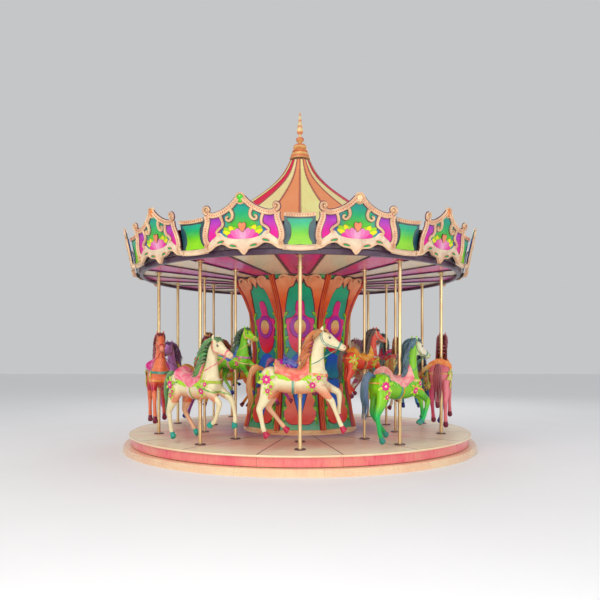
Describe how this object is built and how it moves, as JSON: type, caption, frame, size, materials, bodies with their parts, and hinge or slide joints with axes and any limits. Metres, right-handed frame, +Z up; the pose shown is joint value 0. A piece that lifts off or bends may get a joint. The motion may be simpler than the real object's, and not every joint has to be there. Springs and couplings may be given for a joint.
{
  "type": "merry go round",
  "caption": "Turning fairground platform with galloping horses on brass poles around a painted drum, under a striped canvas roof with a carved cornice.",
  "frame": {"origin": "centre of the underside, on the ground, on the axis of rotation", "axes": "+Z up along the axis of rotation, -Y towards the front; seen from above the platform turns counter-clockwise"},
  "size_m": [5.7776, 5.7776, 5.65],
  "materials": {
    "frame_steel": "grey machinery paint",
    "bright_steel": "turned steel",
    "motor_blue": "machinery enamel",
    "cast_gear": "greased cast teeth",
    "dark_iron": "dark enamel",
    "timber_frame": "varnished timber",
    "dark_timber": "dark painted timber",
    "step_cream": "gloss cream paint",
    "deck_paint": "worn painted boards",
    "cream_paint": "gloss cream paint",
    "pink_paint": "gloss pink paint",
    "magenta_paint": "gloss magenta paint",
    "orange_paint": "gloss orange-red paint",
    "coral_paint": "gloss coral paint",
    "drum_paint": "painted panels, teal ground",
    "shield_paint": "painted boards, green ground",
    "carved_cream": "carved wood, cream paint with coral shading",
    "finial_paint": "carved wood, orange paint and gilding",
    "brass": "polished brass",
    "canvas": "striped waterproof canvas",
    "horse_cream": "moulded body, gloss enamel",
    "horse_green": "moulded body, gloss enamel",
    "horse_pink": "moulded body, gloss enamel",
    "horse_coral": "moulded body, gloss enamel",
    "horse_violet": "moulded body, gloss enamel",
    "horse_gold": "moulded body, gloss enamel",
    "horse_blue": "moulded body, gloss enamel",
    "horse_crimson": "moulded body, gloss enamel"
  },
  "bodies": {
    "base": {"base_plate": "frame_steel", "tie_straps": "frame_steel", "step_ring": "step_cream", "centre_post": "frame_steel", "slewing_race": "bright_steel", "gearmotor": "motor_blue", "crown_wheel": "cast_gear"},
    "platform": {"gear_ring": "cast_gear", "deck_frame": "timber_frame", "deck_boards": "deck_paint", "deck_nosing": "cream_paint", "rim_band": "pink_paint", "deck_bushes": "dark_iron", "drum_base": "orange_paint", "drum_pilasters": "orange_paint", "drum_panels": "drum_paint", "drum_scallops": "coral_paint", "frame_rings": "dark_timber", "sweeps": "timber_frame", "ceiling_cream": "cream_paint", "ceiling_magenta": "magenta_paint", "pole_guides": "brass", "crank_bearings": "dark_iron", "roof_mast": "timber_frame", "rafters": "timber_frame", "roof_canvas": "canvas", "finial": "finial_paint", "cornice_shields": "shield_paint", "cornice_frames": "carved_cream"},
    "motor_shaft": {"drive_pinion": "bright_steel"},
    "crank_0": {"crankshaft_0": "bright_steel"},
    "crank_1": {"crankshaft_1": "bright_steel"},
    "crank_2": {"crankshaft_2": "bright_steel"},
    "crank_3": {"crankshaft_3": "bright_steel"},
    "crank_4": {"crankshaft_4": "bright_steel"},
    "crank_5": {"crankshaft_5": "bright_steel"},
    "crank_6": {"crankshaft_6": "bright_steel"},
    "crank_7": {"crankshaft_7": "bright_steel"},
    "crank_8": {"crankshaft_8": "bright_steel"},
    "crank_9": {"crankshaft_9": "bright_steel"},
    "outer_horse_0_body": {"outer_horse_0": "horse_cream"},
    "inner_horse_0_body": {"inner_horse_0": "horse_violet"},
    "outer_horse_1_body": {"outer_horse_1": "horse_green"},
    "inner_horse_1_body": {"inner_horse_1": "horse_coral"},
    "outer_horse_2_body": {"outer_horse_2": "horse_pink"},
    "inner_horse_2_body": {"inner_horse_2": "horse_gold"},
    "outer_horse_3_body": {"outer_horse_3": "horse_coral"},
    "inner_horse_3_body": {"inner_horse_3": "horse_blue"},
    "outer_horse_4_body": {"outer_horse_4": "horse_coral"},
    "inner_horse_4_body": {"inner_horse_4": "horse_coral"},
    "outer_horse_5_body": {"outer_horse_5": "horse_cream"},
    "inner_horse_5_body": {"inner_horse_5": "horse_green"},
    "outer_horse_6_body": {"outer_horse_6": "horse_green"},
    "inner_horse_6_body": {"inner_horse_6": "horse_pink"},
    "outer_horse_7_body": {"outer_horse_7": "horse_pink"},
    "inner_horse_7_body": {"inner_horse_7": "horse_violet"},
    "outer_horse_8_body": {"outer_horse_8": "horse_coral"},
    "inner_horse_8_body": {"inner_horse_8": "horse_crimson"},
    "outer_horse_9_body": {"outer_horse_9": "horse_cream"},
    "inner_horse_9_body": {"inner_horse_9": "horse_green"}
  },
  "joints": [
    {"name": "deck_spin", "type": "hinge", "parent": "base", "child": "platform", "pos_m": [0, 0, 0], "axis": [0, 0, 1], "continuous": true},
    {"name": "pinion_spin", "type": "hinge", "parent": "base", "child": "motor_shaft", "pos_m": [0, 0.45, 0.125], "axis": [0, 0, 1], "continuous": true},
    {"name": "crank_0_spin", "type": "hinge", "parent": "platform", "child": "crank_0", "pos_m": [0, -0.42, 3.02], "axis": [0, -1, 0], "continuous": true},
    {"name": "crank_1_spin", "type": "hinge", "parent": "platform", "child": "crank_1", "pos_m": [0.24687, -0.33979, 3.02], "axis": [0.5878, -0.809, 0], "continuous": true},
    {"name": "crank_2_spin", "type": "hinge", "parent": "platform", "child": "crank_2", "pos_m": [0.39944, -0.12979, 3.02], "axis": [0.9511, -0.309, 0], "continuous": true},
    {"name": "crank_3_spin", "type": "hinge", "parent": "platform", "child": "crank_3", "pos_m": [0.39944, 0.12979, 3.02], "axis": [0.9511, 0.309, 0], "continuous": true},
    {"name": "crank_4_spin", "type": "hinge", "parent": "platform", "child": "crank_4", "pos_m": [0.24687, 0.33979, 3.02], "axis": [0.5878, 0.809, 0], "continuous": true},
    {"name": "crank_5_spin", "type": "hinge", "parent": "platform", "child": "crank_5", "pos_m": [0, 0.42, 3.02], "axis": [0, 1, 0], "continuous": true},
    {"name": "crank_6_spin", "type": "hinge", "parent": "platform", "child": "crank_6", "pos_m": [-0.24687, 0.33979, 3.02], "axis": [-0.5878, 0.809, 0], "continuous": true},
    {"name": "crank_7_spin", "type": "hinge", "parent": "platform", "child": "crank_7", "pos_m": [-0.39944, 0.12979, 3.02], "axis": [-0.9511, 0.309, 0], "continuous": true},
    {"name": "crank_8_spin", "type": "hinge", "parent": "platform", "child": "crank_8", "pos_m": [-0.39944, -0.12979, 3.02], "axis": [-0.9511, -0.309, 0], "continuous": true},
    {"name": "crank_9_spin", "type": "hinge", "parent": "platform", "child": "crank_9", "pos_m": [-0.24687, -0.33979, 3.02], "axis": [-0.5878, -0.809, 0], "continuous": true},
    {"name": "outer_gallop_0", "type": "slide", "parent": "platform", "child": "outer_horse_0_body", "axis": [0, 0, 1], "range_m": [-0.15, 0.05]},
    {"name": "inner_gallop_0", "type": "slide", "parent": "platform", "child": "inner_horse_0_body", "axis": [0, 0, 1], "range_m": [-0.05, 0.15]},
    {"name": "outer_gallop_1", "type": "slide", "parent": "platform", "child": "outer_horse_1_body", "axis": [0, 0, 1], "range_m": [-0.05, 0.15]},
    {"name": "inner_gallop_1", "type": "slide", "parent": "platform", "child": "inner_horse_1_body", "axis": [0, 0, 1], "range_m": [-0.15, 0.05]},
    {"name": "outer_gallop_2", "type": "slide", "parent": "platform", "child": "outer_horse_2_body", "axis": [0, 0, 1], "range_m": [-0.15, 0.05]},
    {"name": "inner_gallop_2", "type": "slide", "parent": "platform", "child": "inner_horse_2_body", "axis": [0, 0, 1], "range_m": [-0.05, 0.15]},
    {"name": "outer_gallop_3", "type": "slide", "parent": "platform", "child": "outer_horse_3_body", "axis": [0, 0, 1], "range_m": [-0.05, 0.15]},
    {"name": "inner_gallop_3", "type": "slide", "parent": "platform", "child": "inner_horse_3_body", "axis": [0, 0, 1], "range_m": [-0.15, 0.05]},
    {"name": "outer_gallop_4", "type": "slide", "parent": "platform", "child": "outer_horse_4_body", "axis": [0, 0, 1], "range_m": [-0.15, 0.05]},
    {"name": "inner_gallop_4", "type": "slide", "parent": "platform", "child": "inner_horse_4_body", "axis": [0, 0, 1], "range_m": [-0.05, 0.15]},
    {"name": "outer_gallop_5", "type": "slide", "parent": "platform", "child": "outer_horse_5_body", "axis": [0, 0, 1], "range_m": [-0.05, 0.15]},
    {"name": "inner_gallop_5", "type": "slide", "parent": "platform", "child": "inner_horse_5_body", "axis": [0, 0, 1], "range_m": [-0.15, 0.05]},
    {"name": "outer_gallop_6", "type": "slide", "parent": "platform", "child": "outer_horse_6_body", "axis": [0, 0, 1], "range_m": [-0.15, 0.05]},
    {"name": "inner_gallop_6", "type": "slide", "parent": "platform", "child": "inner_horse_6_body", "axis": [0, 0, 1], "range_m": [-0.05, 0.15]},
    {"name": "outer_gallop_7", "type": "slide", "parent": "platform", "child": "outer_horse_7_body", "axis": [0, 0, 1], "range_m": [-0.05, 0.15]},
    {"name": "inner_gallop_7", "type": "slide", "parent": "platform", "child": "inner_horse_7_body", "axis": [0, 0, 1], "range_m": [-0.15, 0.05]},
    {"name": "outer_gallop_8", "type": "slide", "parent": "platform", "child": "outer_horse_8_body", "axis": [0, 0, 1], "range_m": [-0.15, 0.05]},
    {"name": "inner_gallop_8", "type": "slide", "parent": "platform", "child": "inner_horse_8_body", "axis": [0, 0, 1], "range_m": [-0.05, 0.15]},
    {"name": "outer_gallop_9", "type": "slide", "parent": "platform", "child": "outer_horse_9_body", "axis": [0, 0, 1], "range_m": [-0.05, 0.15]},
    {"name": "inner_gallop_9", "type": "slide", "parent": "platform", "child": "inner_horse_9_body", "axis": [0, 0, 1], "range_m": [-0.15, 0.05]}
  ],
  "couplings": [
    {"joint": "pinion_spin", "follows": "deck_spin", "ratio": 6},
    {"joint": "crank_0_spin", "follows": "deck_spin", "ratio": -4},
    {"joint": "crank_1_spin", "follows": "deck_spin", "ratio": -4},
    {"joint": "crank_2_spin", "follows": "deck_spin", "ratio": -4},
    {"joint": "crank_3_spin", "follows": "deck_spin", "ratio": -4},
    {"joint": "crank_4_spin", "follows": "deck_spin", "ratio": -4},
    {"joint": "crank_5_spin", "follows": "deck_spin", "ratio": -4},
    {"joint": "crank_6_spin", "follows": "deck_spin", "ratio": -4},
    {"joint": "crank_7_spin", "follows": "deck_spin", "ratio": -4},
    {"joint": "crank_8_spin", "follows": "deck_spin", "ratio": -4},
    {"joint": "crank_9_spin", "follows": "deck_spin", "ratio": -4},
    {"joint": "inner_gallop_0", "follows": "outer_gallop_0", "ratio": -1},
    {"joint": "outer_gallop_1", "follows": "outer_gallop_0", "ratio": -1},
    {"joint": "inner_gallop_1", "follows": "outer_gallop_0", "ratio": 1},
    {"joint": "outer_gallop_2", "follows": "outer_gallop_0", "ratio": 1},
    {"joint": "inner_gallop_2", "follows": "outer_gallop_0", "ratio": -1},
    {"joint": "outer_gallop_3", "follows": "outer_gallop_0", "ratio": -1},
    {"joint": "inner_gallop_3", "follows": "outer_gallop_0", "ratio": 1},
    {"joint": "outer_gallop_4", "follows": "outer_gallop_0", "ratio": 1},
    {"joint": "inner_gallop_4", "follows": "outer_gallop_0", "ratio": -1},
    {"joint": "outer_gallop_5", "follows": "outer_gallop_0", "ratio": -1},
    {"joint": "inner_gallop_5", "follows": "outer_gallop_0", "ratio": 1},
    {"joint": "outer_gallop_6", "follows": "outer_gallop_0", "ratio": 1},
    {"joint": "inner_gallop_6", "follows": "outer_gallop_0", "ratio": -1},
    {"joint": "outer_gallop_7", "follows": "outer_gallop_0", "ratio": -1},
    {"joint": "inner_gallop_7", "follows": "outer_gallop_0", "ratio": 1},
    {"joint": "outer_gallop_8", "follows": "outer_gallop_0", "ratio": 1},
    {"joint": "inner_gallop_8", "follows": "outer_gallop_0", "ratio": -1},
    {"joint": "outer_gallop_9", "follows": "outer_gallop_0", "ratio": -1},
    {"joint": "inner_gallop_9", "follows": "outer_gallop_0", "ratio": 1}
  ]
}
